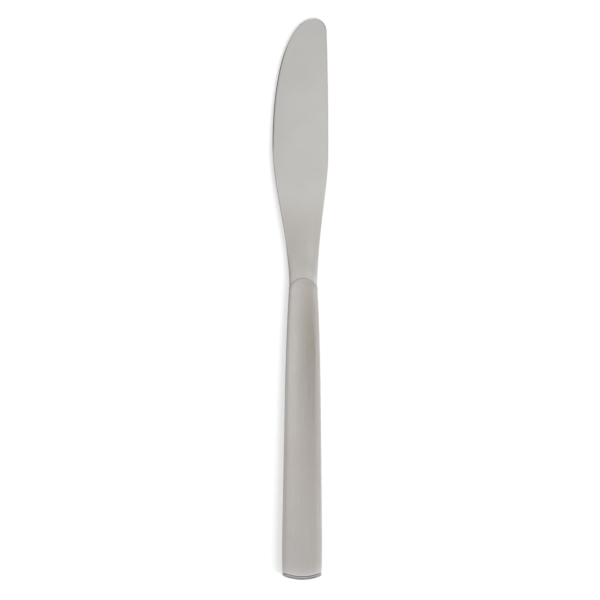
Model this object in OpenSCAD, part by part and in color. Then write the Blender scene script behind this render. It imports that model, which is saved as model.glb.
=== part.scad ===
// Table knife with a hollow handle, lying on its side as it lies on a table.
// The knife points along +Y, its cutting edge faces -X and its spine faces +X.

/* [Overall] */
// Length from the butt to the tip
overall_l = 220; // [200:1:245]
// Length of the handle, from the butt to the top of its arched mouth
handle_l = 118; // [100:1:130]

/* [Blade outline] */
// Distance from the handle's axis to the cutting edge, where the blade is widest
edge_drop = 12.3; // [10:0.05:16]
// Distance from the handle's axis to the spine, where the spine is highest
spine_rise = 9.6; // [7.5:0.05:12]
// How far behind the tip the cutting edge is lowest
belly_back = 50; // [35:0.5:60]
// How far behind the tip the spine is highest
spine_back = 53; // [38:0.5:62]
// How far the spine falls between its highest part and the tip
spine_fall = 1; // [0:0.1:3]
// Distance from the handle's axis to the point of the tip, towards the spine
tip_offset = 4.2; // [1:0.1:6]
// Length of the round corner between the spine and the tip
tip_corner_l = 5; // [3:0.1:9]
// Fullness of the front sweep of the cutting edge, 2 for an ellipse
sweep_power = 2.2; // [1.8:0.05:2.6]
// Width of the blade's root, in front of the handle
root_w = 11.4; // [10:0.1:14]

/* [Blade thickness] */
// Thickness at the spine, where the blade is widest
spine_t = 1.8; // [1.2:0.05:2.6]
// Thickness behind the cutting edge, where the blade is widest
edge_t = 0.8; // [0.4:0.05:1]
// Thickness at the tip
tip_t = 0.9; // [0.6:0.05:1.5]
// Thickness left on the cutting edge itself
lip_t = 0.2; // [0.1:0.05:0.35]
// Width of the ground bevel along the cutting edge
bevel_w = 0.5; // [0.3:0.1:2]
// Length of the cutting edge, measured back from the tip
cutting_l = 53; // [40:1:75]
// Radius of the round on the spine's corners
spine_round = 0.45; // [0.1:0.05:0.6]
// Length over which the blade swells into its root
swell_l = 27; // [15:0.5:35]
// Depth of the relief round the root at its joint with the handle
root_relief = 0.2; // [0.1:0.05:0.5]
// Length of that relief
root_relief_l = 12; // [4:0.5:14]

/* [Handle] */
// Width that the straight taper of the handle comes to at the butt
butt_w = 16.2; // [13:0.1:20]
// Width that the straight taper of the handle comes to at the mouth
front_w = 12.8; // [12:0.1:15]
// Width of the handle at the mouth, where it is pinched in
neck_w = 11.1; // [9.5:0.1:12]
// Length over which the handle is pinched in
neck_flare_l = 48; // [20:1:70]
// How far each side of the handle is drawn in at the very end of the butt
butt_draw = 0.5; // [0:0.05:1.5]
// Length over which it is drawn in there
butt_draw_l = 16; // [5:1:30]
// Thickness of the handle at the butt
butt_t = 8; // [6.6:0.1:10]
// Thickness of the handle at the mouth
mouth_t = 4.8; // [4.4:0.1:6]
// Depth of the slight hollow along each crown, halfway between the handle's two ends
crown_hollow = 0.1; // [0.02:0.02:0.3]
// Sheet thickness of the two shells
wall = 0.8; // [0.5:0.05:1]
// How far the mouth's sides lie behind the top of its arch
arch_sag = 3.3; // [1:0.1:6]
// Fullness of the handle's cross section, 2 for an ellipse
fullness = 2.5; // [2:0.1:3.5]

/* [Butt cap] */
// Thickness of the cap's rim
cap_t = 1.3; // [1:0.1:3]
// How far the end of the cap bows out between its sides
cap_bulge = 1.6; // [0.5:0.1:4]
// Radius of the round on the rim
cap_round = 0.55; // [0.2:0.05:0.8]
// Length of the spigot that plugs the shells
cap_spigot_l = 3; // [1:0.5:8]

/* [Tang] */
// Length of the spigot behind the blade's root
root_spigot_l = 5; // [2:0.5:10]
// Length of the tang behind that spigot
tang_l = 48; // [30:1:60]
// Width of the tang
tang_w = 7; // [5:0.1:7.6]
// Thickness of the tang
tang_t = 2.2; // [1.2:0.1:2.4]
// Number of notches on each side of the tang
notch_count = 3; // [1:1:5]
// Length of the floor of a notch
notch_l = 4; // [2:0.5:5]
// Depth of a notch
notch_d = 1; // [0.5:0.1:1.6]

/* [Fits] */
// Clearance between pieces that fit together
fit_gap = 0.05; // [0.03:0.01:0.1]
// Thickness of the braze between the shells
braze_t = 0.16; // [0.1:0.02:0.3]
// Size of the bevel on the shells' ends
end_bevel = 0.25; // [0.1:0.05:0.35]

/* [Hidden] */

steel = [0.73, 0.72, 0.70];
handle_steel = [0.68, 0.66, 0.64];
braze_metal = [0.80, 0.68, 0.42];
cement_grey = [0.62, 0.60, 0.56];

// Shape of the pinched neck, of the mouth's arch and of the two heel curves, as powers
pinch_power = 2.5;
arch_power = 2.2;
edge_heel_power = 1.1;
spine_heel_power = 1.2;
// Length over which the bevel of the cutting edge fades in at its heel
bevel_fade_l = 6;
// Width of blade, in bevels, under which the bevel narrows towards the tip
bevel_room = 8;
// Largest share of the blade's half thickness that the round of the spine takes
round_share = 0.75;
// Height of the narrow flat along each side of a rounded piece, either side of its middle
land = braze_t / 2;
// Metal ground off each side of the blade to make it flat
grind = 0.02;
// Length cut from the point of the tip, which leaves a short flat there
tip_flat = 0.02;

// Facets across half a cross section, an odd count so that the handle lies on a flat strip
across = 17;
// Rows of facets along each stretch
relief_rows = 7;
swell_rows = 8;
heel_rows = 8;
sweep_rows = 24;
handle_rows = 20;
round_rows = 4;

belly_y = overall_l - belly_back;
swell_end_y = handle_l + swell_l;
mouth_side_y = handle_l - arch_sag;
tang_root_y = mouth_side_y - root_spigot_l;
tang_end_y = tang_root_y - tang_l;
cap_spigot_end_y = cap_bulge + cap_t + cap_spigot_l;
rest_tilt = atan((butt_t - mouth_t) / 2 / handle_l);
middle_x = (edge_drop - spine_rise) / 2;

// Slopes of the blade's flat sides: over its width, and along its length
side_slope = (spine_t - edge_t) / (spine_rise + edge_drop);
axis_t = spine_t - side_slope * spine_rise;
length_slope = (axis_t + side_slope * tip_offset - tip_t) / belly_back;
flat_turn = -atan(side_slope / 2);
flat_lean = -atan(length_slope / 2 * cos(flat_turn));

// Angles round the upper half of a cross section, from the cutting edge's side to the spine's
angles = [for (j = [0 : across]) 180 - 180 * j / across];
// Rise of the facet along the crown, which has the full thickness
crown_rise = max([for (a = angles) section_rise(a)]);

function mix(a, b, t) = a + (b - a) * t;
function share(t) = max(0, min(1, t));
function ease(t) = let (c = share(t)) c * c * (3 - 2 * c);
function signed_power(v, p) = sign(v) * pow(abs(v), p);

// Place across the width, from -1 to 1, and height, from 0 to 1, on a rounded section
function section_u(a) = signed_power(cos(a), 2 / fullness);
function section_rise(a) = pow(max(0, sin(a)), 2 / fullness);
function section_h(a) = section_rise(a) / crown_rise;
function section_z(a, half_t) = land + (half_t - land) * section_h(a);

// Half width and half thickness of the handle
function pinch(y) = (front_w - neck_w) / 2 * pow(share(1 - (mouth_side_y - y) / neck_flare_l), pinch_power);
function draw_in(y) = butt_draw * pow(share(1 - y / butt_draw_l), 2);
function handle_half_w(y) = mix(butt_w, front_w, y / handle_l) / 2 - pinch(y) - draw_in(y);
function hollow(y) = let (t = share(y / handle_l)) 4 * crown_hollow * t * (1 - t);
function handle_half_t(y) = mix(butt_t, mouth_t, y / handle_l) / 2 - hollow(y);

// The arched joint at the mouth and the bowed end of the butt, across the width
function mouth_y(x) = handle_l - arch_sag * pow(abs(x) / (neck_w / 2), arch_power);
function butt_y(x) = cap_bulge * pow(x / (butt_w / 2), 2);

// Outline of the blade: the cutting edge's side and the spine's side
function heel(y, end_y, half, power) = let (t = share((y - mouth_side_y) / (end_y - mouth_side_y)))
    mix(root_w / 2, half, ease(pow(t, power)));
function sweep(y) = let (u = share((y - belly_y) / (belly_back + tip_flat)))
    pow(1 - pow(u, sweep_power), 1 / sweep_power);
function edge_x(y) = y < belly_y ? -heel(y, belly_y, edge_drop, edge_heel_power)
    : tip_offset - (edge_drop + tip_offset) * sweep(y);
function spine_line(y) = heel(y, overall_l - spine_back, spine_rise, spine_heel_power)
    - spine_fall * pow(share((y - overall_l) / spine_back + 1), 2);
function tip_corner(y) = let (u = share((y - overall_l + tip_corner_l) / (tip_corner_l + tip_flat)))
    (spine_rise - spine_fall - tip_offset) * (1 - sqrt(1 - u * u));
function spine_x(y) = spine_line(y) - tip_corner(y);

// Half thickness of the blade before its sides are ground flat
function blank_half_t(x, y) = grind + max(lip_t, axis_t + side_slope * x - length_slope * (y - belly_y)) / 2;

// One point on the flat part of the blade. The first two columns are the ground bevel,
// the last three are the round of the spine, and the rest lie on the flat side.
function blade_point(j, y) = let (
        left = edge_x(y),
        right = spine_x(y),
        narrow = min(1, (right - left) / (bevel_room * bevel_w)),
        bevel = bevel_w * narrow,
        round_r = min(spine_round * narrow, round_share * blank_half_t(right, y)),
        turn = 45 * (j - (across - 2)),
        flat_x = mix(left + bevel, right - round_r, (j - 1) / (across - 3)),
        x = j == 0 ? left : j <= across - 2 ? flat_x : right - round_r * (1 - sin(turn)),
        ground = ease((y - overall_l + cutting_l) / bevel_fade_l),
        flat_z = blank_half_t(x, y),
        z = j == 0 ? mix(flat_z, lip_t / 2, ground)
            : j <= across - 2 ? flat_z : flat_z - round_r * (1 - cos(turn))
    ) [x, y, z];

// One point on the rounded section of the blade's root
function root_point(j, y, inset) = let (
        half = (spine_x(y) - edge_x(y)) / 2 - inset,
        middle = (spine_x(y) + edge_x(y)) / 2
    ) [middle + half * section_u(angles[j]), y, section_z(angles[j], mouth_t / 2 - inset)];

// A row of the swelling between root and blade. Rows follow the mouth's arch at the root
// and straighten out towards the blade.
function swell_row(y) = let (
        t = share((y - handle_l) / swell_l),
        inset = root_relief * (1 - ease((y - handle_l) / root_relief_l))
    ) [for (j = [0 : across]) let (
        x = section_u(angles[j]) * (root_w / 2 - inset),
        row_y = y + (fit_gap + mouth_y(x) - handle_l) * (1 - t)
    ) mix(root_point(j, row_y, inset), blade_point(j, row_y), ease(t))];

// A point, and a straight row of points, on the handle's section drawn in by an inset
function handle_point(a, y, inset) =
    [section_u(a) * (handle_half_w(y) - inset), y, section_z(a, handle_half_t(y) - inset)];
function handle_row(y, inset) = [for (a = angles) handle_point(a, y, inset)];

// A row laid along the mouth's arch or the butt's bow, moved along by a shift
function mouth_row(inset, shift) = [for (a = angles) let (
        x = section_u(a) * (handle_half_w(mouth_side_y) - inset),
        y = mouth_y(x) + shift
    ) [x, y, section_z(a, handle_half_t(y) - inset)]];
function butt_row(inset, shift) = [for (a = angles) let (
        x = section_u(a) * (handle_half_w(cap_bulge) - inset),
        y = butt_y(x) + shift
    ) [x, y, section_z(a, handle_half_t(y) - inset)]];

// One side of the notched tang, from its end to its root
notch_step = tang_l / (notch_count + 1);
tang_side = concat(
    [[tang_w / 2, tang_end_y]],
    [for (i = [1 : notch_count]) let (y = tang_end_y + i * notch_step, half = notch_l / 2) each [
        [tang_w / 2, y - half - notch_d],
        [tang_w / 2 - notch_d, y - half],
        [tang_w / 2 - notch_d, y + half],
        [tang_w / 2, y + half + notch_d]
    ]],
    [[tang_w / 2, tang_root_y]]
);
function tang_row(p) = [for (a = angles) [section_u(a) * p.x, p.y, tang_t / 2]];

// Rows of the blade from the end of the tang to the tip
root_inset = wall + fit_gap;
blade_rows = concat(
    [for (p = tang_side) tang_row(p)],
    [handle_row(tang_root_y, root_inset), mouth_row(root_inset, fit_gap)],
    [for (i = [0 : relief_rows]) swell_row(handle_l + root_relief_l * i / relief_rows)],
    [for (i = [1 : swell_rows]) swell_row(mix(handle_l + root_relief_l, swell_end_y, i / swell_rows))],
    [for (i = [1 : heel_rows]) let (y = mix(swell_end_y, belly_y, i / heel_rows))
        [for (j = [0 : across]) blade_point(j, y)]],
    [for (i = [1 : sweep_rows]) let (y = belly_y + belly_back * sin(90 * i / sweep_rows))
        [for (j = [0 : across]) blade_point(j, y)]]
);

// Rows of a shell's surface from butt to mouth. The outer one is bevelled at both ends.
function shell_rows(inset, bevel) = let (
        low = butt_row(inset, cap_t + fit_gap + end_bevel),
        high = mouth_row(inset, -end_bevel)
    ) concat(
        [butt_row(inset + bevel, cap_t + fit_gap)],
        [for (i = [0 : handle_rows]) [for (j = [0 : across])
            handle_point(angles[j], mix(low[j].y, high[j].y, i / handle_rows), inset)]],
        [mouth_row(inset + bevel, 0)]
    );

// Rows of the butt cap, from the round of its rim to the end of its spigot
cap_rows = concat(
    [for (i = [0 : round_rows]) let (a = 90 * i / round_rows)
        butt_row(cap_round * (1 - sin(a)), cap_round * (1 - cos(a)))],
    [butt_row(0, cap_t - end_bevel), butt_row(end_bevel, cap_t)],
    [butt_row(root_inset, cap_t), handle_row(cap_spigot_end_y, root_inset)]
);

// Rows of the cement, between the spigots of the cap and of the blade
cement_low_y = cap_spigot_end_y + fit_gap;
cement_high_y = tang_root_y - fit_gap;
cement_rows = [for (i = [0 : handle_rows])
    handle_row(mix(cement_low_y, cement_high_y, i / handle_rows), root_inset)];

// A closed solid between an upper and a lower grid of points with the same rows and columns
module slab(top, bottom) {
    rows = len(top) - 1;
    cols = len(top[0]) - 1;
    lower = len(top) * len(top[0]);
    function up(i, j) = i * (cols + 1) + j;
    function down(i, j) = lower + up(i, j);
    grid_faces = [for (i = [0 : rows - 1], j = [0 : cols - 1]) each [
        [up(i, j), up(i + 1, j), up(i + 1, j + 1)],
        [up(i, j), up(i + 1, j + 1), up(i, j + 1)],
        [down(i, j), down(i + 1, j + 1), down(i + 1, j)],
        [down(i, j), down(i, j + 1), down(i + 1, j + 1)]
    ]];
    side_faces = [for (i = [0 : rows - 1]) each [
        [up(i + 1, 0), up(i, 0), down(i, 0)],
        [up(i + 1, 0), down(i, 0), down(i + 1, 0)],
        [up(i, cols), up(i + 1, cols), down(i + 1, cols)],
        [up(i, cols), down(i + 1, cols), down(i, cols)]
    ]];
    end_faces = [for (j = [0 : cols - 1]) each [
        [up(0, j), up(0, j + 1), down(0, j + 1)],
        [up(0, j), down(0, j + 1), down(0, j)],
        [up(rows, j + 1), up(rows, j), down(rows, j)],
        [up(rows, j + 1), down(rows, j), down(rows, j + 1)]
    ]];
    points = [for (grid = [top, bottom], row = grid, p = row) p];
    polyhedron(points, concat(grid_faces, side_faces, end_faces));
}

// A slab that is the same above and below the knife's middle plane
module even_slab(rows) {
    slab(rows, [for (row = rows) [for (p = row) [p.x, p.y, -p.z]]]);
}

// Lays a piece as the knife rests: on the ground with the two ends of the handle's underside
module at_rest() {
    translate([middle_x, -overall_l / 2, butt_t / 2 * cos(rest_tilt)])
        rotate([-rest_tilt, 0, 0])
            children();
}

module top_shell_shape() {
    slab(shell_rows(0, end_bevel), shell_rows(wall, 0));
}

// Room for the tang in the cement, with the fit's clearance all round
module tang_cavity() {
    side = concat(
        [[tang_w / 2 + fit_gap, tang_end_y - fit_gap]],
        [for (p = tang_side) [p.x + fit_gap, p.y]]
    );
    linear_extrude(tang_t + 2 * fit_gap, center = true)
        polygon(concat(side, [for (i = [len(side) - 1 : -1 : 0]) [-side[i].x, side[i].y]]));
}

// Strip of braze along one side of the handle, as wide as the shell's wall
module braze_strip() {
    low_y = butt_y(butt_w / 2) + cap_t + fit_gap + end_bevel;
    high_y = mouth_side_y - end_bevel;
    ys = [for (i = [0 : handle_rows]) mix(low_y, high_y, i / handle_rows)];
    linear_extrude(braze_t, center = true)
        polygon(concat(
            [for (y = ys) [handle_half_w(y), y]],
            [for (i = [handle_rows : -1 : 0]) [handle_half_w(ys[i]) - wall, ys[i]]]
        ));
}

// Block whose underside is the flat upper side of the blade, from the swelling to past the tip
module flat_side_cut() {
    cut_w = 2 * (edge_drop + spine_rise);
    cut_l = 2 * (overall_l - swell_end_y);
    translate([0, belly_y, axis_t / 2])
        rotate([flat_lean, flat_turn, 0])
            translate([-cut_w / 2, swell_end_y - belly_y, 0])
                cube([cut_w, cut_l, spine_t]);
}

module blade() {
    color(steel) at_rest() difference() {
        even_slab(blade_rows);
        for (side = [0, 1]) mirror([0, 0, side]) flat_side_cut();
    }
}

module handle_top_shell() {
    color(handle_steel) at_rest() top_shell_shape();
}

module handle_bottom_shell() {
    color(handle_steel) at_rest() mirror([0, 0, 1]) top_shell_shape();
}

module seam_braze() {
    color(braze_metal) at_rest() for (side = [0, 1]) mirror([side, 0, 0]) braze_strip();
}

module butt_cap() {
    color(handle_steel) at_rest() even_slab(cap_rows);
}

module tang_cement() {
    color(cement_grey) at_rest() difference() {
        even_slab(cement_rows);
        tang_cavity();
    }
}

blade();
handle_top_shell();
handle_bottom_shell();
seam_braze();
butt_cap();
tang_cement();
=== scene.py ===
# Table knife in satin stainless steel: the looks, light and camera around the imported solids
import math

import bmesh
import bpy
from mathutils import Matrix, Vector


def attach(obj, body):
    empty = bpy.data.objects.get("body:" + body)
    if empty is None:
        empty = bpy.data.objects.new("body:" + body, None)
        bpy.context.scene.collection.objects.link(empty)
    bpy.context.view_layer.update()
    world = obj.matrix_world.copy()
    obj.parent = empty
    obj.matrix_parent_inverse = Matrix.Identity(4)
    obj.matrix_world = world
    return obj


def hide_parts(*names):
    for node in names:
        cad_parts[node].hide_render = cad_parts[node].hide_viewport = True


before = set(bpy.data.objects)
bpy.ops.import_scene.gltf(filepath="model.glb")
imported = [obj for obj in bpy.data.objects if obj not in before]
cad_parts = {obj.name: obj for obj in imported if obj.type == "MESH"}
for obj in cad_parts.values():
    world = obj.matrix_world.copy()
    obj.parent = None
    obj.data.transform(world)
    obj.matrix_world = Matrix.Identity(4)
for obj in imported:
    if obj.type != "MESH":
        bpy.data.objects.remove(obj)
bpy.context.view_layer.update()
print("frame loaded:", ", ".join(sorted(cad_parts)))


# Sizes are in millimetres. The knife is drawn lengthwise on +Y from its butt, about its middle plane,
# with the cutting edge on -X and the spine on +X, and is then laid down as it rests.
knife = {
    "length": 220.0,  # butt to tip
    "handleLength": 118.0,  # butt to the top of the arched mouth
    "archSag": 3.3,  # how far the sides of the mouth lie behind the top of its arch
    "archPower": 2.2,
    "wall": 0.8,  # sheet of the handle's shells
    "seam": 0.16,  # braze between the shells
    "fitGap": 0.05,  # clearance where pieces meet
    "fullness": 2.5,  # cross section of handle and root, 2 for an ellipse
    "columns": 72,  # facets across half a rounded section
    "columnPinch": 0.8,  # how much the facets crowd towards the seams
    "sharpAngle": 28.0,  # degrees, corners sharper than this stay crisp
}

mouthSideY = knife["handleLength"] - knife["archSag"]
land = knife["seam"] / 2
rootInset = knife["wall"] + knife["fitGap"]  # what plugs the shells is smaller by this all round


def mix(a, b, t):
    return a + (b - a) * t


def share(t):
    return max(0.0, min(1.0, t))


def ease(t):
    c = share(t)
    return c * c * (3 - 2 * c)


def fadeFrom(distance, reach):
    return share(1 - abs(distance) / reach) ** 2


def steps(count):
    return [i / count for i in range(count + 1)]


def quarterTurns(count):
    return [math.pi / 2 * i / count for i in range(count + 1)]


def cornerSteps(count):
    # points round a corner, as shares of its radius in from the side and in from the end
    return [(1 - math.sin(a), 1 - math.cos(a)) for a in quarterTurns(count)]


# Rounded cross section, by the share of the way from the cutting edge's side to the spine's

def spread(t):
    return t - knife["columnPinch"] * math.sin(2 * math.pi * t) / (2 * math.pi)


def sectionAcross(t):
    c = -math.cos(math.pi * t)
    return math.copysign(abs(c) ** (2 / knife["fullness"]), c)


def sectionHeight(t, halfThick):
    return land + (halfThick - land) * max(0.0, math.sin(math.pi * t)) ** (2 / knife["fullness"])


roundColumns = [spread(t) for t in steps(knife["columns"])]


# Outline of the handle
handle = {
    "buttWidth": 16.2,  # ends of the straight taper
    "frontWidth": 12.8,
    "neckWidth": 11.1,  # pinched in at the mouth
    "pinchLength": 48.0,
    "pinchPower": 2.5,
    "buttDraw": 0.5,  # drawn in a little at the very end
    "buttDrawLength": 16.0,
    "buttThick": 8.0,
    "mouthThick": 4.8,
    "crownHollow": 0.1,  # slight hollow along each crown, so the knife lies on its two ends
    "endRound": 0.25,  # softened rims of the shells
    "rows": 110,  # facets along a shell and round each of its rims
    "roundRows": 5,
}


def handleHalfWidth(y):
    pinched = (handle["frontWidth"] - handle["neckWidth"]) / 2
    pinched *= share(1 - (mouthSideY - y) / handle["pinchLength"]) ** handle["pinchPower"]
    drawn = handle["buttDraw"] * share(1 - y / handle["buttDrawLength"]) ** 2
    return mix(handle["buttWidth"], handle["frontWidth"], y / knife["handleLength"]) / 2 - pinched - drawn


def handleHalfThick(y):
    t = share(y / knife["handleLength"])
    return mix(handle["buttThick"], handle["mouthThick"], t) / 2 - 4 * handle["crownHollow"] * t * (1 - t)


def mouthY(x):
    fromAxis = abs(x / (handle["neckWidth"] / 2))
    return knife["handleLength"] - knife["archSag"] * fromAxis ** knife["archPower"]


def handlePoint(t, y, inset):
    return sectionAcross(t) * (handleHalfWidth(y) - inset), y, sectionHeight(t, handleHalfThick(y) - inset)


def handleRow(y, inset, columns=roundColumns):
    return [handlePoint(t, y, inset) for t in columns]


def endRow(endY, half, inset, shift, columns):
    # a row of points that follows a curved end of the handle
    row = []
    for t in columns:
        x = sectionAcross(t) * (half - inset)
        y = endY(x) + shift
        row.append((x, y, sectionHeight(t, handleHalfThick(y) - inset)))
    return row


def mouthRow(inset, shift, columns=roundColumns):
    return endRow(mouthY, handleHalfWidth(mouthSideY), inset, shift, columns)


# Outline of the butt, which the cap closes
cap = {
    "rim": 1.3,  # end to the joint with the shells
    "bulge": 1.6,  # how far the end bows out
    "round": 0.55,
    "spigot": 3.0,  # length of the plug inside the shells
    "roundRows": 12,  # facets round the end and along the rim
    "rimRows": 8,
}


def buttY(x):
    return cap["bulge"] * (x / (handle["buttWidth"] / 2)) ** 2


def fromCap(x, y):
    return y - buttY(x) - cap["rim"]


def buttRow(inset, shift):
    return endRow(buttY, handleHalfWidth(cap["bulge"]), inset, shift, roundColumns)


# Outline of the blade
blade = {
    "edgeDrop": 12.3,  # axis to the cutting edge, where the blade is widest
    "spineRise": 9.6,  # axis to the spine
    "bellyBack": 50.0,  # tip to the lowest part of the cutting edge
    "spineBack": 53.0,  # tip to the highest part of the spine
    "spineFall": 1.0,  # how far the spine falls again by the tip
    "tipOffset": 4.2,  # axis to the tip, on the spine's side
    "tipCorner": 5.0,  # length of the rounded corner in front of the spine
    "tipFlat": 0.02,  # keeps the tip from closing to a point
    "sweepPower": 2.2,  # sweep of the cutting edge to the tip, 2 for an ellipse
    "rootWidth": 11.4,
    "edgeHeelPower": 1.1,  # the higher these are, the later the blade widens
    "spineHeelPower": 1.2,
    "spineThick": 1.8,
    "edgeThick": 0.8,
    "tipThick": 0.9,
    "lip": 0.2,  # metal left on the cutting edge
    "bevel": 0.5,  # width of the ground bevel
    "bevelFade": 6.0,  # length over which the bevel begins
    "bevelRoom": 8.0,  # the bevel narrows where the blade is under this many bevels wide
    "cuttingLength": 53.0,  # tip to the back end of the bevel
    "spineRound": 0.45,
    "roundShare": 0.75,  # most of the half thickness that the round of the spine takes
    "swell": 27.0,  # length over which the blade swells into its root
    "relief": 0.2,  # shallow relief round the root at the joint
    "reliefLength": 12.0,
    "bevelColumns": 1 / 16,  # shares of a row of points on the bevel and on the round of the spine
    "roundColumns": 2 / 16,
    "bevelFacets": 5,  # facets across the bevel, the flat side and the round of the spine
    "flatFacets": 40,
    "roundFacets": 10,
    "swellRows": 54,  # facets along the swell, the heel and the sweep to the tip
    "heelRows": 24,
    "sweepRows": 72,
}

bellyY = knife["length"] - blade["bellyBack"]
sideSlope = (blade["spineThick"] - blade["edgeThick"]) / (blade["spineRise"] + blade["edgeDrop"])
axisThick = blade["spineThick"] - sideSlope * blade["spineRise"]
lengthSlope = (axisThick + sideSlope * blade["tipOffset"] - blade["tipThick"]) / blade["bellyBack"]


def heel(y, endY, half, power):
    t = share((y - mouthSideY) / (endY - mouthSideY))
    return mix(blade["rootWidth"] / 2, half, ease(t ** power))


def edgeX(y):
    if y < bellyY:
        return -heel(y, bellyY, blade["edgeDrop"], blade["edgeHeelPower"])
    u = share((y - bellyY) / (blade["bellyBack"] + blade["tipFlat"]))
    sweep = (1 - u ** blade["sweepPower"]) ** (1 / blade["sweepPower"])
    return blade["tipOffset"] - (blade["edgeDrop"] + blade["tipOffset"]) * sweep


def spineX(y):
    line = heel(y, knife["length"] - blade["spineBack"], blade["spineRise"], blade["spineHeelPower"])
    line -= blade["spineFall"] * share((y - knife["length"]) / blade["spineBack"] + 1) ** 2
    u = share((y - knife["length"] + blade["tipCorner"]) / (blade["tipCorner"] + blade["tipFlat"]))
    corner = blade["spineRise"] - blade["spineFall"] - blade["tipOffset"]
    return line - corner * (1 - math.sqrt(1 - u * u))


def groundShare(y):
    return ease((y - knife["length"] + blade["cuttingLength"]) / blade["bevelFade"])


def bladeHalfThick(x, y):
    return max(blade["lip"], axisThick + sideSlope * x - lengthSlope * (y - bellyY)) / 2


def bladePoint(t, y):
    left = edgeX(y)
    right = spineX(y)
    narrow = min(1.0, (right - left) / (blade["bevelRoom"] * blade["bevel"]))
    bevel = blade["bevel"] * narrow
    roundR = min(blade["spineRound"] * narrow, blade["roundShare"] * bladeHalfThick(right, y))
    roundStart = 1 - blade["roundColumns"]
    if t < blade["bevelColumns"]:  # ground bevel
        edgeZ = mix(bladeHalfThick(left, y), blade["lip"] / 2, groundShare(y))
        k = t / blade["bevelColumns"]
        return left + bevel * k, y, mix(edgeZ, bladeHalfThick(left + bevel, y), k)
    if t <= roundStart:  # flat side
        k = (t - blade["bevelColumns"]) / (roundStart - blade["bevelColumns"])
        x = mix(left + bevel, right - roundR, k)
        return x, y, bladeHalfThick(x, y)
    turn = math.pi / 2 * (t - roundStart) / blade["roundColumns"]  # round of the spine
    x = right - roundR * (1 - math.sin(turn))
    return x, y, bladeHalfThick(x, y) - roundR * (1 - math.cos(turn))


def rootPoint(t, y, inset):
    half = (spineX(y) - edgeX(y)) / 2 - inset
    middle = (spineX(y) + edgeX(y)) / 2
    return middle + half * sectionAcross(t), y, sectionHeight(t, handle["mouthThick"] / 2 - inset)


def swellRow(y, columns):
    # follows the arch of the mouth at the root and straightens towards the blade
    t = share((y - knife["handleLength"]) / blade["swell"])
    inset = blade["relief"] * (1 - ease((y - knife["handleLength"]) / blade["reliefLength"]))
    row = []
    for c in columns:
        x = sectionAcross(c) * (blade["rootWidth"] / 2 - inset)
        rowY = y + (knife["fitGap"] + mouthY(x) - knife["handleLength"]) * (1 - t)
        ends = zip(rootPoint(c, rowY, inset), bladePoint(c, rowY))
        row.append(tuple(mix(a, b, ease(t)) for a, b in ends))
    return row


def bladeColumnList():
    bevelEnd = blade["bevelColumns"]
    roundStart = 1 - blade["roundColumns"]
    columns = [bevelEnd * t for t in steps(blade["bevelFacets"])[:-1]]
    columns += [mix(bevelEnd, roundStart, t) for t in steps(blade["flatFacets"])[:-1]]
    columns += [mix(roundStart, 1.0, t) for t in steps(blade["roundFacets"])]
    return columns


# Tang, hidden in the handle
tang = {
    "shoulder": 5.0,  # spigot behind the root
    "length": 48.0,
    "width": 7.0,
    "thick": 2.2,
    "notches": 3,
    "notchLength": 4.0,
    "notchDepth": 1.0,
}


def tangSide():
    half = tang["width"] / 2
    root = mouthSideY - tang["shoulder"]
    end = root - tang["length"]
    side = [(half, end)]
    for i in range(1, tang["notches"] + 1):
        y = end + i * tang["length"] / (tang["notches"] + 1)
        for offset, depth in ((-1, 0), (-1, 1), (1, 1), (1, 0)):
            reach = tang["notchLength"] / 2 + tang["notchDepth"] * (1 - depth)
            side.append((half - tang["notchDepth"] * depth, y + offset * reach))
    return side + [(half, root)]


# Meshes: two grids of the same size, joined along their rims into one closed skin
mmPerMetre = 1000
restTilt = math.atan((handle["buttThick"] - handle["mouthThick"]) / 2 / knife["handleLength"])
restLift = handle["buttThick"] / 2 * math.cos(restTilt)
middleX = (blade["edgeDrop"] - blade["spineRise"]) / 2


def layAtRest(point):
    # millimetres on the drawing to metres in the frame, lying on the two ends of the handle's underside
    x, y, z = point
    turnedY = y * math.cos(restTilt) + z * math.sin(restTilt)
    turnedZ = z * math.cos(restTilt) - y * math.sin(restTilt)
    laid = (x + middleX, turnedY - knife["length"] / 2, turnedZ + restLift)
    return tuple(value / mmPerMetre for value in laid)


def skinFaces(rows, cols, first):
    lower = rows * cols
    faces = []
    for i in range(rows - 1):
        for j in range(cols - 1):
            a = first + i * cols + j
            quad = (a, a + 1, a + cols + 1, a + cols)
            faces.append(quad)
            faces.append(tuple(lower + v for v in reversed(quad)))
        for a in (first + i * cols, first + i * cols + cols - 1):
            faces.append((a, a + cols, lower + a + cols, lower + a))
    for j in range(cols - 1):
        for a in (first + j, first + (rows - 1) * cols + j):
            faces.append((a, a + 1, lower + a + 1, lower + a))
    return faces


def flipped(rows):
    return [[(x, y, -z) for x, y, z in row] for row in rows]


def addObject(name, data):
    made = bpy.data.objects.new(name, data)
    bpy.context.scene.collection.objects.link(made)
    return made


def closedMesh(name, skins, marks):
    points = []
    faces = []
    for top, bottom in skins:
        faces += skinFaces(len(top), len(top[0]), len(points))
        points += [p for grid in (top, bottom) for row in grid for p in row]
    mesh = bpy.data.meshes.new(name)
    mesh.from_pydata([layAtRest(p) for p in points], [], faces)
    outward = bmesh.new()
    outward.from_mesh(mesh)
    bmesh.ops.recalc_face_normals(outward, faces=outward.faces)
    outward.to_mesh(mesh)
    outward.free()
    for label, markAt in marks.items():
        layer = mesh.attributes.new(label, "FLOAT", "POINT")
        layer.data.foreach_set("value", [markAt(x, y) for x, y, z in points])
    mesh.shade_smooth()
    mesh.set_sharp_from_angle(angle=math.radians(knife["sharpAngle"]))
    return addObject(name, mesh)


def standFor(piece, node):
    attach(piece, "root")
    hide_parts(node)
    return piece


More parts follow.
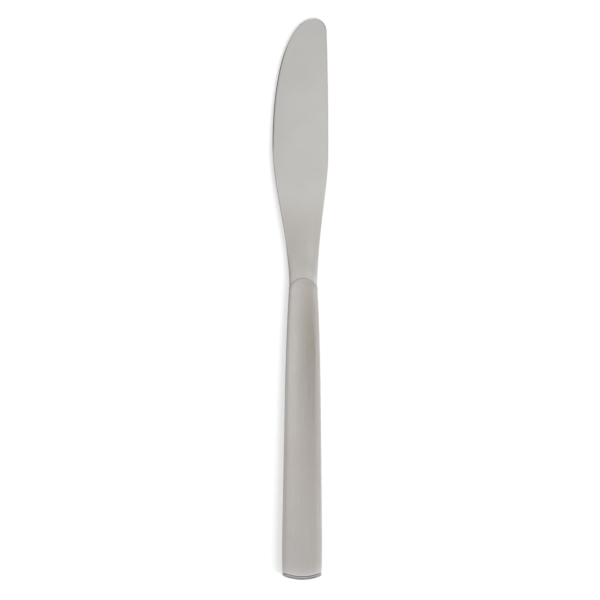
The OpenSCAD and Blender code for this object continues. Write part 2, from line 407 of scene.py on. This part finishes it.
# Blade, with marks from 0 to 1 on its points that its finish turns into painted highlights, painted shade
# and a darker lengthwise-brushed root
bladeMarking = {
    "highlightLength": 6.0,  # painted highlight on the root this far from the joint, on the spine's side
    "highlightX": -0.3,
    "highlightFade": 3.2,
    "spineHighlight": 0.5,  # painted highlight along the spine on the root, and a painted shade line along it on the blade
    "spineHighlightReach": 1.2,
    "spineShade": 0.4,
    "spineShadeReach": 0.9,
    "spineTurnY": 150.0,  # where the one gives way to the other
    "spineTurnFade": 14.0,
    "jointShade": 0.1,
    "jointShadeReach": 0.9,
    "groundWidth": 0.7,  # share of the bevel painted dark, as shade along the cutting edge
    "groundFaint": 0.4,  # how strongly the painted shade shows at the heel and the tip, where the cutting edge has 1
    "groundHeel": 12.0,  # handle to where the heel begins to show it
    "groundHeelFade": 12.0,
    "groundTip": 8.0,  # tip to where it begins to strengthen
    "groundTipFade": 8.0,
    "frontShade": 0.4,  # the same painted shade round the front corner of the spine
    "frontShadeLength": 7.0,
    "frontWidth": 0.5,
    "brushY": 131.0,  # the root is brushed lengthwise, in a darker tone that paints the shade of its swell, up to here
    "brushFade": 24.0,
    "brushJointLength": 8.0,  # the darker tone gives way next to the joint, where these shares of it are left on the two sides, so the spine's side is painted lighter
    "brushEdgeSide": 0.9,
    "brushSpineSide": 0.15,
    "brushJointX": -4.5,
    "spineSideLight": 0.9,  # it gives way further along on the spine's side, which paints that side lighter
    "brushSideX": -0.5,
    "brushSideY": 122.0,
    "brushSideFade": 4.0,
}


# painted highlights next to the joint on the spine's side and along the spine on the root
def bladeHighlight(x, y):
    if y < mouthY(x):  # inside the handle
        return 0.0
    marking = bladeMarking
    nearJoint = 1 - ease((y - mouthY(x)) / marking["highlightLength"])
    byJoint = nearJoint * ease((x - marking["highlightX"]) / marking["highlightFade"])
    onRoot = 1 - ease((y - marking["spineTurnY"]) / marking["spineTurnFade"])
    spine = marking["spineHighlight"] * fadeFrom(x - spineX(y), marking["spineHighlightReach"]) * onRoot
    return max(byJoint, spine)


# painted shade along the spine on the blade and in the joint with the handle
def bladeShade(x, y):
    marking = bladeMarking
    joint = marking["jointShade"] * fadeFrom(y - mouthY(x), marking["jointShadeReach"])
    onBlade = ease((y - marking["spineTurnY"]) / marking["spineTurnFade"])
    spine = marking["spineShade"] * fadeFrom(x - spineX(y), marking["spineShadeReach"]) * onBlade
    return max(spine, joint)


# painted shade on the bevel along the cutting edge and round the front corner of the spine
def groundEdge(x, y):
    marking = bladeMarking
    fromTip = knife["length"] - y
    fromHandle = y - knife["handleLength"]
    onBevel = x < edgeX(y) + marking["groundWidth"] * blade["bevel"]
    onFront = x > spineX(y) - marking["frontWidth"]
    front = marking["frontShade"] * ease(1 - fromTip / marking["frontShadeLength"])
    pastHeel = ease((fromHandle - marking["groundHeel"]) / marking["groundHeelFade"])
    behindTip = ease((fromTip - marking["groundTip"]) / marking["groundTipFade"])
    heelLine = marking["groundFaint"] * pastHeel
    edgeLine = mix(marking["groundFaint"], 1.0, behindTip)
    return max(front * onFront, mix(heelLine, edgeLine, groundShare(y)) * onBevel)


# where the root takes its lengthwise brushing and darker tone, which paints the shade of the swell
def rootBrushAndShade(x, y):
    marking = bladeMarking
    across = ease((x - marking["brushJointX"]) / marking["brushSideFade"])
    atJoint = mix(marking["brushEdgeSide"], marking["brushSpineSide"], across)
    byJoint = mix(atJoint, 1.0, ease((y - mouthY(x)) / marking["brushJointLength"]))
    nearJoint = 1 - ease((y - marking["brushSideY"]) / marking["brushFade"])
    onSide = ease((x - marking["brushSideX"]) / marking["brushSideFade"])
    spineSide = 1 - marking["spineSideLight"] * nearJoint * onSide
    return byJoint * spineSide * (1 - ease((y - marking["brushY"]) / marking["brushFade"]))


bladeMarks = {
    "wearAndHighlight": bladeHighlight,
    "seamShade": bladeShade,
    "groundEdge": groundEdge,
    "rootBrushAndShade": rootBrushAndShade,
}


def makeBlade():
    columns = bladeColumnList()
    swellEnd = knife["handleLength"] + blade["swell"]
    rows = [[(sectionAcross(t) * half, y, tang["thick"] / 2) for t in columns] for half, y in tangSide()]
    rows.append(handleRow(mouthSideY - tang["shoulder"], rootInset, columns))
    rows.append(mouthRow(rootInset, knife["fitGap"], columns))
    for k in steps(blade["swellRows"]):
        rows.append(swellRow(mix(knife["handleLength"], swellEnd, k), columns))
    bladeYs = [mix(swellEnd, bellyY, k) for k in steps(blade["heelRows"])[1:]]
    bladeYs += [bellyY + blade["bellyBack"] * math.sin(a) for a in quarterTurns(blade["sweepRows"])[1:]]
    rows += [[bladePoint(t, y) for t in columns] for y in bladeYs]
    piece = closedMesh("knifeBlade", [(rows, flipped(rows))], bladeMarks)
    return standFor(piece, "blade")


# Shells of the handle
handleMarking = {
    "sidePolish": 0.25,  # worn along the sides
    "sidePolishReach": 1.0,
    "mouthHighlight": 0.7,  # painted highlight on the rim of the mouth
    "mouthHighlightReach": 0.35,
    "mouthShade": 0.5,  # painted shade in a band behind it, and what is added towards the sides
    "mouthShadeSides": 0.3,
    "mouthShadeX": 1.5,
    "mouthShadeFade": 3.0,
    "mouthShadeBack": 0.6,
    "mouthShadeReach": 1.3,
    "buttHighlightAhead": 0.6,  # painted highlight in a band ahead of the cap, within a wide faint one
    "buttHighlightReach": 1.6,
    "buttSheen": 0.3,
    "buttSheenReach": 7.0,
    "capShadeReach": 0.4,  # painted shade in a line against the cap
}


# wear along the sides, and painted highlights on the rim of the mouth and ahead of the cap
def handleWearAndHighlight(x, y):
    marking = handleMarking
    side = marking["sidePolish"] * fadeFrom(abs(x) - handleHalfWidth(y), marking["sidePolishReach"])
    mouth = marking["mouthHighlight"] * fadeFrom(y - mouthY(x), marking["mouthHighlightReach"])
    butt = fadeFrom(fromCap(x, y) - marking["buttHighlightAhead"], marking["buttHighlightReach"])
    sheen = marking["buttSheen"] * fadeFrom(fromCap(x, y), marking["buttSheenReach"])
    return max(side, mouth, butt, sheen)


# painted shade behind the mouth and against the cap
def handleShade(x, y):
    marking = handleMarking
    sides = ease((abs(x) - marking["mouthShadeX"]) / marking["mouthShadeFade"])
    mouth = marking["mouthShade"] + marking["mouthShadeSides"] * sides
    mouth *= fadeFrom(y - mouthY(x) + marking["mouthShadeBack"], marking["mouthShadeReach"])
    return max(mouth, fadeFrom(fromCap(x, y), marking["capShadeReach"]))


handleMarks = {"wearAndHighlight": handleWearAndHighlight, "seamShade": handleShade}


def shellRows(inset, softened):
    start = cap["rim"] + knife["fitGap"]
    rim = handle["endRound"]
    corner = cornerSteps(handle["roundRows"])[:-1]
    low = buttRow(inset, start + rim)
    high = mouthRow(inset, -rim)
    rows = [buttRow(inset + softened * fromSide, start + rim * fromEnd) for fromSide, fromEnd in corner]
    for k in steps(handle["rows"]):
        ys = [mix(p[1], q[1], k) for p, q in zip(low, high)]
        rows.append([handlePoint(t, y, inset) for t, y in zip(roundColumns, ys)])
    for fromSide, fromEnd in reversed(corner):
        rows.append(mouthRow(inset + softened * fromSide, -rim * fromEnd))
    return rows


def shellSkins():
    return shellRows(0.0, handle["endRound"]), shellRows(knife["wall"], 0.0)


def makeShell(name, node, flip):
    outer, inner = shellSkins()
    if flip:
        outer, inner = flipped(outer), flipped(inner)
    piece = closedMesh(name, [(outer, inner)], handleMarks)
    return standFor(piece, node)


# Cap on the butt
capMarking = {
    "polishReach": 0.9,  # worn round of the end
    "jointShade": 0.8,  # painted shade in a line against the shells
    "jointShadeReach": 0.25,
    "line": 0.55,  # painted shade in a line on the rim, this far from the end
    "lineReach": 0.6,
}


def capWear(x, y):
    return fadeFrom(y - buttY(x) - cap["round"] / 2, capMarking["polishReach"])


# painted shade against the shells and in a line on the rim
def capShade(x, y):
    joint = capMarking["jointShade"] * fadeFrom(fromCap(x, y), capMarking["jointShadeReach"])
    return max(joint, fadeFrom(y - buttY(x) - capMarking["line"], capMarking["lineReach"]))


capMarks = {"wearAndHighlight": capWear, "seamShade": capShade}


def makeCap():
    rimEnd = cap["rim"] - handle["endRound"]
    rows = []
    for fromSide, fromEnd in cornerSteps(cap["roundRows"]):
        rows.append(buttRow(cap["round"] * fromSide, cap["round"] * fromEnd))
    for k in steps(cap["rimRows"])[1:-1]:
        rows.append(buttRow(0.0, mix(cap["round"], rimEnd, k)))
    for fromEnd, fromSide in cornerSteps(handle["roundRows"]):  # softened as the shells' rims are
        rows.append(buttRow(handle["endRound"] * fromSide, cap["rim"] - handle["endRound"] * fromEnd))
    rows.append(buttRow(rootInset, cap["rim"]))
    rows.append(handleRow(cap["bulge"] + cap["rim"] + cap["spigot"], rootInset))
    piece = closedMesh("buttCap", [(rows, flipped(rows))], capMarks)
    return standFor(piece, "butt_cap")


def makeSeams():
    # a strip between the shells on each side, as wide as their walls and rounded off with their rims
    outer, inner = shellSkins()
    strips = [[(o[side], i[side]) for o, i in zip(outer, inner)] for side in (0, -1)]
    piece = closedMesh("seamBraze", [(strip, flipped(strip)) for strip in strips], {})
    return standFor(piece, "seam_braze")


knifeBlade = makeBlade()
print("blade made:", len(knifeBlade.data.vertices), "points")
topShell = makeShell("handleTopShell", "handle_top_shell", False)
bottomShell = makeShell("handleBottomShell", "handle_bottom_shell", True)
print("handle made:", len(topShell.data.vertices), "points a shell")
buttCap = makeCap()
seamBraze = makeSeams()
print("cap and seams made:", len(buttCap.data.vertices), "points on the cap")


# Finishes: helpers for node trees

def feed(tree, made, inputs):
    for socket, value in inputs.items():
        if isinstance(value, bpy.types.NodeSocket):
            tree.links.new(value, made.inputs[socket])
        else:
            made.inputs[socket].default_value = value


def addNode(tree, kind, inputs=None, **settings):
    made = tree.nodes.new(kind)
    for label, value in settings.items():
        setattr(made, label, value)
    feed(tree, made, inputs or {})
    return made


def maths(tree, operation, *values):
    return addNode(tree, "ShaderNodeMath", dict(enumerate(values)), operation=operation).outputs[0]


def fitRange(tree, value, low=0.0, high=1.0, newLow=0.0, newHigh=1.0, **settings):
    inputs = {"Value": value, "From Min": low, "From Max": high, "To Min": newLow, "To Max": newHigh}
    return addNode(tree, "ShaderNodeMapRange", inputs, **settings).outputs[0]


def stretch(tree, place, scale):
    return addNode(tree, "ShaderNodeVectorMath", {0: place, 1: scale}, operation="MULTIPLY").outputs[0]


def noise(tree, place, scale, detail, rough=0.5):
    inputs = {"Vector": place, "Scale": scale, "Detail": detail, "Roughness": rough}
    return addNode(tree, "ShaderNodeTexNoise", inputs).outputs[0]


def coords(tree, kind):
    return addNode(tree, "ShaderNodeTexCoord").outputs[kind]


def axes(tree, place):
    return addNode(tree, "ShaderNodeSeparateXYZ", {0: place}).outputs


def meshMark(tree, label):
    return addNode(tree, "ShaderNodeAttribute", attribute_name=label).outputs["Fac"]


def mixColour(tree, factor, first, second, blend="MIX"):
    inputs = {0: factor, 6: first, 7: second}  # sockets of the node's colour kind
    return addNode(tree, "ShaderNodeMix", inputs, data_type="RGBA", blend_type=blend).outputs[2]


# Groups that more than one finish uses. They put out masks from 0 to 1 that change over the surface.

def startGroup(name, inputs, outputs):
    tree = bpy.data.node_groups.new(name, "ShaderNodeTree")
    for label, kind, value in inputs:
        tree.interface.new_socket(label, in_out="INPUT", socket_type=kind).default_value = value
    for label in outputs:
        tree.interface.new_socket(label, in_out="OUTPUT", socket_type="NodeSocketFloat")
    return tree, tree.nodes.new("NodeGroupInput"), tree.nodes.new("NodeGroupOutput")


brushing = {
    "lineScale": (6000, 40, 6000),
    "coarseScale": 0.25,
    "coarseDetail": 2.0,
    "fineScale": 1.0,
    "fineDetail": 3.0,
    "fineRough": 0.6,
    "low": 0.6,  # sums of the two noises that become 0 and 1
    "high": 1.4,
}


def makeBrushGroup():
    # fine parallel lines left by the brushing belt
    sockets = [("Line Scale", "NodeSocketVector", brushing["lineScale"])]
    tree, given, out = startGroup("brushLines", sockets, ["Lines"])
    place = stretch(tree, coords(tree, "Object"), given.outputs["Line Scale"])
    coarse = noise(tree, place, brushing["coarseScale"], brushing["coarseDetail"])
    fine = noise(tree, place, brushing["fineScale"], brushing["fineDetail"], brushing["fineRough"])
    both = maths(tree, "ADD", coarse, fine)
    feed(tree, out, {"Lines": fitRange(tree, both, brushing["low"], brushing["high"])})
    return tree


handling = {
    "scale": 60.0,
    "detail": 4.0,
    "rough": 0.55,
    "low": 0.35,  # noise that becomes 0 and 1
    "high": 0.65,
}


def makeHazeGroup():
    # slow cloudy change of the sheen, from handling and washing
    sockets = [("Scale", "NodeSocketFloat", handling["scale"])]
    tree, given, out = startGroup("handlingHaze", sockets, ["Haze"])
    place = coords(tree, "Object")
    cloud = noise(tree, place, given.outputs["Scale"], handling["detail"], handling["rough"])
    feed(tree, out, {"Haze": fitRange(tree, cloud, handling["low"], handling["high"])})
    return tree


scratching = {
    "amount": 0.5,
    "angles": (0.5, -0.85),  # radians, each with its own stretch
    "stretches": ((2600, 45, 2600), (3100, 60, 3100)),
    "scale": 1.0,
    "detail": 1.0,
    "low": 0.70,  # only the peaks of the noise become hairs
    "high": 0.76,
}


def makeScratchGroup():
    # sparse hair scratches in two slanting directions
    sockets = [("Amount", "NodeSocketFloat", scratching["amount"])]
    tree, given, out = startGroup("hairScratches", sockets, ["Scratches"])
    place = coords(tree, "Object")
    masks = []
    for angle, scale in zip(scratching["angles"], scratching["stretches"]):
        slant = {"Vector": place, "Angle": angle}
        turned = addNode(tree, "ShaderNodeVectorRotate", slant, rotation_type="Z_AXIS").outputs[0]
        hairs = noise(tree, stretch(tree, turned, scale), scratching["scale"], scratching["detail"])
        masks.append(fitRange(tree, hairs, scratching["low"], scratching["high"]))
    either = maths(tree, "MAXIMUM", *masks)
    feed(tree, out, {"Scratches": maths(tree, "MULTIPLY", either, given.outputs["Amount"])})
    return tree


patchiness = {
    "breakUp": 450.0,
    "detail": 3.0,
    "low": 0.3,  # noise that leaves the least and the most of a mark
    "high": 0.6,
    "least": 0.72,
    "most": 0.95,
}


def makeRimMarkGroup():
    # wear and painted highlights on the rims, and painted shade in the joints and along edges, from marks
    # on the mesh, both broken up a little
    sockets = [("Break Up", "NodeSocketFloat", patchiness["breakUp"])]
    tree, given, out = startGroup("rimWearHighlightAndShade", sockets, ["Polish And Highlight", "Painted Shade"])
    patchy = noise(tree, coords(tree, "Object"), given.outputs["Break Up"], patchiness["detail"])
    uneven = fitRange(tree, patchy, patchiness["low"], patchiness["high"], patchiness["least"], patchiness["most"])
    for label, mark in (("Polish And Highlight", "wearAndHighlight"), ("Painted Shade", "seamShade")):
        feed(tree, out, {label: maths(tree, "MULTIPLY", meshMark(tree, mark), uneven)})
    return tree


brushGroup = makeBrushGroup()
hazeGroup = makeHazeGroup()
scratchGroup = makeScratchGroup()
rimMarkGroup = makeRimMarkGroup()


def addGroup(tree, group, inputs):
    return addNode(tree, "ShaderNodeGroup", inputs, node_tree=group).outputs


def emptyMaterial(name):
    material = bpy.data.materials.new(name)
    material.use_nodes = True
    material.node_tree.nodes.clear()
    return material, material.node_tree


def startMaterial(name):
    material, tree = emptyMaterial(name)
    surface = addNode(tree, "ShaderNodeBsdfPrincipled")
    addNode(tree, "ShaderNodeOutputMaterial", {"Surface": surface.outputs[0]})
    return material, tree, surface


def brushed(tree, finish):
    lines = addGroup(tree, brushGroup, {"Line Scale": finish["lineScale"]})["Lines"]
    return lines, mixColour(tree, lines, finish["dark"], finish["light"])


def weatherAndShade(tree, surface, finish, lines, tone):
    # scratches, rim wear and painted highlights, painted shade, uneven sheen and the relief of the
    # brushing
    haze = addGroup(tree, hazeGroup, {"Scale": finish["hazeScale"]})["Haze"]
    scratches = addGroup(tree, scratchGroup, {"Amount": finish["scratches"]})["Scratches"]
    marked = addGroup(tree, rimMarkGroup, {"Break Up": finish["breakUp"]})
    tone = mixColour(tree, haze, tone, finish["haze"], "MULTIPLY")
    tone = mixColour(tree, scratches, tone, finish["polishAndHighlight"])
    tone = mixColour(tree, marked["Polish And Highlight"], tone, finish["polishAndHighlight"])
    tone = mixColour(tree, marked["Painted Shade"], tone, finish["paintedShade"])
    rough = fitRange(tree, lines, newLow=finish["roughLow"], newHigh=finish["roughHigh"])
    rough = maths(tree, "MULTIPLY_ADD", haze, finish["hazeRough"], rough)
    rough = maths(tree, "MULTIPLY_ADD", marked["Polish And Highlight"], finish["polishRough"], rough)
    bump = {"Strength": 1.0, "Distance": finish["bumpDistance"], "Height": lines}
    relief = addNode(tree, "ShaderNodeBump", bump).outputs[0]
    feed(tree, surface, {"Metallic": 1.0, "Roughness": rough, "Normal": relief})
    return tone


def makeSteel(name, finish):
    material, tree, surface = startMaterial(name)
    lines, tone = brushed(tree, finish)
    feed(tree, surface, {"Base Color": weatherAndShade(tree, surface, finish, lines, tone)})
    return material


bladeFinish = {
    "dark": (0.571, 0.558, 0.535, 1),  # tones of the grind lines
    "light": (0.604, 0.592, 0.568, 1),
    # colour of scratches and of painted highlights
    "polishAndHighlight": (0.675, 0.665, 0.645, 1),
    # colour of painted shade
    "paintedShade": (0.36, 0.345, 0.325, 1),
    "haze": (0.965, 0.96, 0.955, 1),
    "ground": (0.13, 0.13, 0.13, 1),  # painted shade on the bevel along the cutting edge
    "lineScale": (60, 14000, 900),  # lines run across the blade
    "hazeScale": 55.0,
    "breakUp": 450.0,
    "roughLow": 0.27,
    "roughHigh": 0.37,
    "hazeRough": 0.05,
    "polishRough": -0.08,
    "bumpDistance": 0.0000012,
    "scratches": 0.12,
}

# the root's darker tones paint the shade of its swell
rootShadedFinish = {
    "dark": (0.492, 0.472, 0.446, 1),
    "light": (0.537, 0.517, 0.491, 1),
    "lineScale": (7000, 60, 7000),  # lines run lengthwise
}


def makeBladeSteel():
    # ground across on the blade, brushed lengthwise on the root in a darker tone that paints the shade of
    # its swell, with painted shade on the ground bevel
    material, tree, surface = startMaterial("groundBladeSteel")
    lines, tone = brushed(tree, bladeFinish)
    rootLines, rootShadedTone = brushed(tree, rootShadedFinish)
    onRoot = meshMark(tree, "rootBrushAndShade")
    lines = addNode(tree, "ShaderNodeMix", {0: onRoot, 2: lines, 3: rootLines}).outputs[0]
    tone = weatherAndShade(tree, surface, bladeFinish, lines, mixColour(tree, onRoot, tone, rootShadedTone))
    # painted shade along the cutting edge
    tone = mixColour(tree, meshMark(tree, "groundEdge"), tone, bladeFinish["ground"])
    feed(tree, surface, {"Base Color": tone})
    return material


handleFinish = {
    "dark": (0.514, 0.490, 0.470, 1),
    "light": (0.571, 0.548, 0.529, 1),
    # colour of scratches, worn sides and painted highlights
    "polishAndHighlight": (0.825, 0.828, 0.835, 1),
    # colour of painted shade
    "paintedShade": (0.33, 0.315, 0.30, 1),
    "haze": (0.965, 0.945, 0.925, 1),
    "lineScale": (9000, 42, 9000),  # lines run along the handle
    "hazeScale": 55.0,
    "breakUp": 450.0,
    "roughLow": 0.25,
    "roughHigh": 0.36,
    "hazeRough": 0.05,
    "polishRough": -0.07,
    "bumpDistance": 0.0000016,
    "scratches": 0.10,
}

capFinish = {
    "dark": (0.502, 0.505, 0.512, 1),
    "light": (0.562, 0.565, 0.572, 1),
    # colour of scratches and the worn end
    "polishAndHighlight": (0.602, 0.605, 0.612, 1),
    # colour of painted shade
    "paintedShade": (0.152, 0.158, 0.170, 1),
    "haze": (0.96, 0.96, 0.96, 1),
    "lineScale": (90, 9000, 9000),  # lines run across the end
    "hazeScale": 55.0,
    "breakUp": 450.0,
    "roughLow": 0.25,
    "roughHigh": 0.36,
    "hazeRough": 0.04,
    "polishRough": -0.06,
    "bumpDistance": 0.0000012,
    "scratches": 0.3,
}

brazeFinish = {
    "dark": (0.42, 0.36, 0.26, 1),
    "light": (0.56, 0.50, 0.39, 1),
    "lineScale": (3000, 60, 3000),
    "roughLow": 0.30,
    "roughHigh": 0.45,
}


def makeBraze():
    material, tree, surface = startMaterial("filedBraze")
    lines, tone = brushed(tree, brazeFinish)
    rough = fitRange(tree, lines, newLow=brazeFinish["roughLow"], newHigh=brazeFinish["roughHigh"])
    feed(tree, surface, {"Base Color": tone, "Metallic": 1.0, "Roughness": rough})
    return material


cementFinish = {
    "dark": (0.26, 0.245, 0.22, 1),
    "light": (0.42, 0.40, 0.365, 1),
    "grain": 2200.0,
    "grainDetail": 5.0,
    "grainRough": 0.7,
    "grainDepth": 0.00012,
    "grainStrength": 0.6,
    "roughLow": 0.78,
    "roughHigh": 0.95,
}


def makeCement():
    finish = cementFinish
    material, tree, surface = startMaterial("setCement")
    place = coords(tree, "Object")
    grit = noise(tree, place, finish["grain"], finish["grainDetail"], finish["grainRough"])
    tone = mixColour(tree, grit, finish["dark"], finish["light"])
    rough = fitRange(tree, grit, newLow=finish["roughLow"], newHigh=finish["roughHigh"])
    bump = {"Strength": finish["grainStrength"], "Distance": finish["grainDepth"], "Height": grit}
    relief = addNode(tree, "ShaderNodeBump", bump).outputs[0]
    feed(tree, surface, {"Base Color": tone, "Roughness": rough, "Normal": relief})
    return material


def dress(piece, material):
    piece.data.materials.append(material)


def redress(node, material):
    # a solid that stays in view as it was packed, with a better finish
    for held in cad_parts[node].material_slots:
        held.material = material


handleSteel = makeSteel("brushedHandleSteel", handleFinish)
dress(knifeBlade, makeBladeSteel())
dress(topShell, handleSteel)
dress(bottomShell, handleSteel)
dress(buttCap, makeSteel("brushedCapSteel", capFinish))
dress(seamBraze, makeBraze())
redress("tang_cement", makeCement())
print("finishes made")


# Stage, in metres: pale floor, white surroundings and one soft lamp from the right
stage = {
    "floorSide": 6.0,
    "floorTone": (0.56, 0.56, 0.56, 1),
    "floorLift": 0.505,  # brings the lit floor up to white for the eye and for reflections
    "roomTone": (1, 1, 1, 1),
    "roomLight": 0.535,  # the white room, as it lights matt surfaces
    "lampWall": 0.85,  # the room's walls, as steel reflects them, on the lamp's side and opposite
    "farWall": 0.30,
    "wallTop": 0.55,  # sine of the height at which the white ceiling begins
    "lampPlace": (1.1, -0.7, 1.8),
    "lampSpread": 33.0,  # degrees, which sets how soft the shadow is
    "lampStrength": 1.73,
    "cardFade": 0.55,  # share of a card's length at which its colour begins to change
}


def seenFlag(tree):
    # 1 for what the camera, a mirror or a clear piece sees, 0 for light that falls on matt surfaces
    path = addNode(tree, "ShaderNodeLightPath").outputs
    seen = maths(tree, "MAXIMUM", path["Is Camera Ray"], path["Is Glossy Ray"])
    return maths(tree, "MAXIMUM", seen, path["Is Transmission Ray"])


def plate(name, width, length, place):
    mesh = bpy.data.meshes.new(name)
    x = width / 2
    y = length / 2
    mesh.from_pydata([(-x, -y, 0), (x, -y, 0), (x, y, 0), (-x, y, 0)], [], [(0, 1, 2, 3)])
    made = addObject(name, mesh)
    made.location = place
    return made


def makeFloor():
    floor = plate("floor", stage["floorSide"], stage["floorSide"], (0, 0, 0))
    material, tree = emptyMaterial("paleFloor")
    matt = addNode(tree, "ShaderNodeBsdfDiffuse", {"Color": stage["floorTone"]}).outputs[0]
    lift = maths(tree, "MULTIPLY", seenFlag(tree), stage["floorLift"])
    glow = addNode(tree, "ShaderNodeEmission", {"Strength": lift}).outputs[0]
    both = addNode(tree, "ShaderNodeAddShader", {0: matt, 1: glow}).outputs[0]
    addNode(tree, "ShaderNodeOutputMaterial", {"Surface": both})
    dress(floor, material)


def grey(tone):
    return tone, tone, tone, 1


# Cards that only show in reflections: name, middle, size, degrees of lean about Y and about X,
# colour at the end towards the butt, colour at the end towards the tip
cards = [
    ("handleCard", (0.071, -0.056, 0.15), (0.150, 0.120), 0, 0, grey(0.86), (0.17, 0.11, 0.02, 1)),
    ("buttCard", (0.0, -0.142, 0.148), (0.4, 0.12), 0, 0, grey(0.82), grey(0.82)),
    ("bladeCard", (-0.06, 0.080, 0.08), (0.08, 0.09), 0, 0, grey(0.70), grey(0.80)),
    ("floorCard", (-0.045, -0.05475, 0.0004), (0.074, 0.1305), 0, 0, grey(0.70), grey(0.35)),
    ("floorFade", (-0.045, 0.04050, 0.0004), (0.074, 0.0600), 0, 0, grey(0.35), grey(1.0)),
    ("tipCard", (0.0, 0.155, 0.15), (0.3, 0.1), 0, 0, grey(0.83), grey(0.83)),
    ("leftFlag", (-0.50, 0.0, 0.17), (0.34, 1.4), 90, 0, grey(0.75), grey(0.75)),
    ("nearFlag", (0.0, -0.55, 0.16), (1.0, 0.32), 0, 90, grey(0.30), grey(0.30)),
]


def makeCard(name, middle, size, leanY, leanX, nearColour, farColour):
    card = plate(name, *size, middle)
    card.rotation_euler = (math.radians(leanX), math.radians(leanY), 0)
    card.visible_camera = card.visible_diffuse = card.visible_shadow = False
    material, tree = emptyMaterial(name)
    along = axes(tree, coords(tree, "Generated"))["Y"]
    colour = mixColour(tree, fitRange(tree, along, stage["cardFade"]), nearColour, farColour)
    glow = addNode(tree, "ShaderNodeEmission", {"Color": colour}).outputs[0]
    addNode(tree, "ShaderNodeOutputMaterial", {"Surface": glow})
    dress(card, material)


def makeRoom():
    world = bpy.data.worlds.new("whiteRoom")
    bpy.context.scene.world = world
    world.use_nodes = True
    tree = world.node_tree
    tree.nodes.clear()
    level = fitRange(tree, seenFlag(tree), newLow=stage["roomLight"])
    aimed = axes(tree, coords(tree, "Generated"))
    wall = fitRange(tree, aimed["X"], -1.0, 1.0, 1 - stage["farWall"], 1 - stage["lampWall"])
    dimmed = fitRange(tree, aimed["Z"], 0.0, stage["wallTop"], wall, 0.0, interpolation_type="SMOOTHSTEP")
    mirrored = addNode(tree, "ShaderNodeLightPath").outputs["Is Glossy Ray"]
    strength = maths(tree, "SUBTRACT", level, maths(tree, "MULTIPLY", dimmed, mirrored))
    room = addNode(tree, "ShaderNodeBackground", {"Color": stage["roomTone"], "Strength": strength})
    addNode(tree, "ShaderNodeOutputWorld", {"Surface": room.outputs[0]})


def makeLamp():
    data = bpy.data.lights.new("softLamp", "SUN")
    data.angle = math.radians(stage["lampSpread"])
    data.energy = stage["lampStrength"]
    lamp = addObject("softLamp", data)
    lamp.location = stage["lampPlace"]
    lamp.rotation_euler = (-Vector(stage["lampPlace"])).to_track_quat("-Z", "Y").to_euler()
    lamp.visible_camera = lamp.visible_glossy = False  # the white room stands for it in reflections


# Camera straight above, as in the photo, in metres
photo = {
    "distance": 1.5,  # camera to the table
    "span": 0.2352,  # width of the picture at this height over the table
    "spanHeight": 0.003,
    "centre": (0.000115, -0.00052),  # point of the table under the middle of the picture
    "lean": 0.25,  # degrees that the knife leans clockwise
    "reach": 20.0,  # how far the camera sees
}


def makeCamera():
    data = bpy.data.cameras.new("overhead")
    data.lens = data.sensor_width * (photo["distance"] - photo["spanHeight"]) / photo["span"]
    data.clip_end = photo["reach"]
    camera = addObject("overhead", data)
    camera.location = (*photo["centre"], photo["distance"])
    camera.rotation_euler = (0, 0, math.radians(photo["lean"]))
    bpy.context.scene.camera = camera


makeFloor()
for card in cards:
    makeCard(*card)
makeRoom()
makeLamp()
makeCamera()
bpy.context.scene.view_settings.view_transform = "Standard"
print("stage set")
